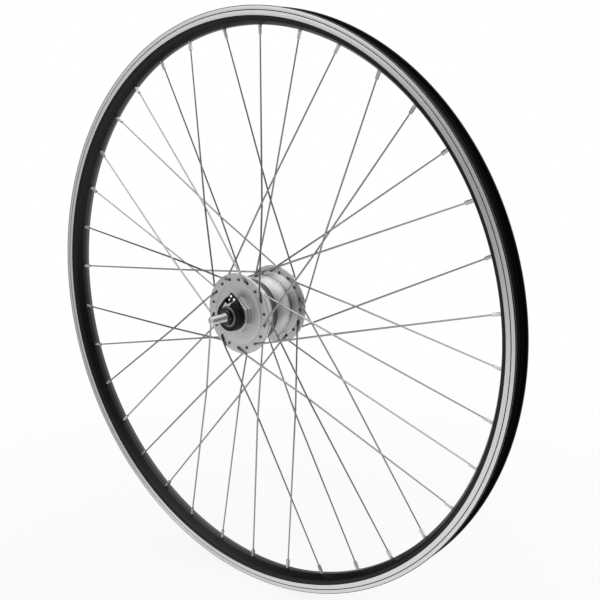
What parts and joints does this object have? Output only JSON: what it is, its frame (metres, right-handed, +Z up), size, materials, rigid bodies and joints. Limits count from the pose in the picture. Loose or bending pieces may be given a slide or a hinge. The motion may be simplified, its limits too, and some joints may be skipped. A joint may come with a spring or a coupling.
{
  "type": "dynamo front wheel",
  "caption": "Front bicycle wheel: silver dynamo hub with cup-and-cone bearings, crossed spokes, black double-wall rim.",
  "frame": {"origin": "centre of the wheel, on the axle's axis midway between the two locknut faces", "axes": "+Y along the axle away from the electric connector, -Y towards the connector (the rider's right), +Z up, in the wheel's plane with X"},
  "size_m": [0.6339, 0.14, 0.634],
  "materials": {
    "rim_metal": "black anodised, with bare machined brake tracks",
    "sleeve_metal": "mill-finished extrusion",
    "tape_rubber": "plain black rim tape",
    "hub_metal": "silver turned and polished, with a plain dark band round the drum",
    "cap_metal": "silver, turned, satin",
    "spoke_steel": "stainless wire, bright drawn",
    "nipple_brass": "nickel-plated",
    "axle_steel": "zinc-plated, threaded",
    "cone_steel": "hardened and ground",
    "cup_steel": "hardened and ground",
    "spacer_steel": "zinc-plated",
    "locknut_steel": "blackened",
    "ball_steel": "polished bearing steel",
    "retainer_steel": "pressed sheet",
    "seal_rubber": "moulded",
    "connector_plastic": "black glass-filled nylon",
    "contact_metal": "tin-plated contact",
    "wire_jacket": "enamelled copper lead",
    "core_iron": "soft iron",
    "claw_iron": "laminated soft iron, oiled",
    "bobbin_plastic": "natural nylon",
    "coil_copper": "enamelled copper winding",
    "yoke_iron": "rolled soft iron ring",
    "magnet_ceramic": "sintered permanent magnet"
  },
  "bodies": {
    "axle_assembly": {"axle": "axle_steel", "right_cone": "cone_steel", "left_cone": "cone_steel", "right_washer": "spacer_steel", "left_spacer": "spacer_steel", "right_locknut": "locknut_steel", "left_locknut": "spacer_steel", "connector_housing": "connector_plastic", "connector_contact_live": "contact_metal", "connector_contact_earth": "contact_metal", "lead_wire": "wire_jacket", "stator_core": "core_iron", "claw_plate_right": "claw_iron", "claw_plate_left": "claw_iron", "coil_bobbin": "bobbin_plastic", "coil_winding": "coil_copper", "stator_nuts": "spacer_steel"},
    "wheel": {"hub_shell": "hub_metal", "end_cap": "cap_metal", "magnet_yoke": "yoke_iron", "ring_magnets": "magnet_ceramic", "rim": "rim_metal", "rim_tape": "tape_rubber", "rim_joint_sleeve": "sleeve_metal", "right_cup": "cup_steel", "left_cup": "cup_steel", "right_seal": "seal_rubber", "left_seal": "seal_rubber", "spokes_right_outer": "spoke_steel", "spokes_right_inner": "spoke_steel", "spokes_left_outer": "spoke_steel", "spokes_left_inner": "spoke_steel", "nipples_right": "nipple_brass", "nipples_left": "nipple_brass"},
    "right_ball_set": {"right_balls": "ball_steel", "right_ball_retainer": "retainer_steel"},
    "left_ball_set": {"left_balls": "ball_steel", "left_ball_retainer": "retainer_steel"}
  },
  "joints": [
    {"name": "wheel_spin", "type": "hinge", "parent": "axle_assembly", "child": "wheel", "pos_m": [0, 0, 0], "axis": [0, 1, 0], "continuous": true},
    {"name": "right_ball_spin", "type": "hinge", "parent": "axle_assembly", "child": "right_ball_set", "pos_m": [0, -0.0278, 0], "axis": [0, 1, 0], "continuous": true},
    {"name": "left_ball_spin", "type": "hinge", "parent": "axle_assembly", "child": "left_ball_set", "pos_m": [0, 0.031, 0], "axis": [0, 1, 0], "continuous": true}
  ],
  "couplings": [
    {"joint": "right_ball_spin", "follows": "wheel_spin", "ratio": 0.5914},
    {"joint": "left_ball_spin", "follows": "wheel_spin", "ratio": 0.5914}
  ]
}
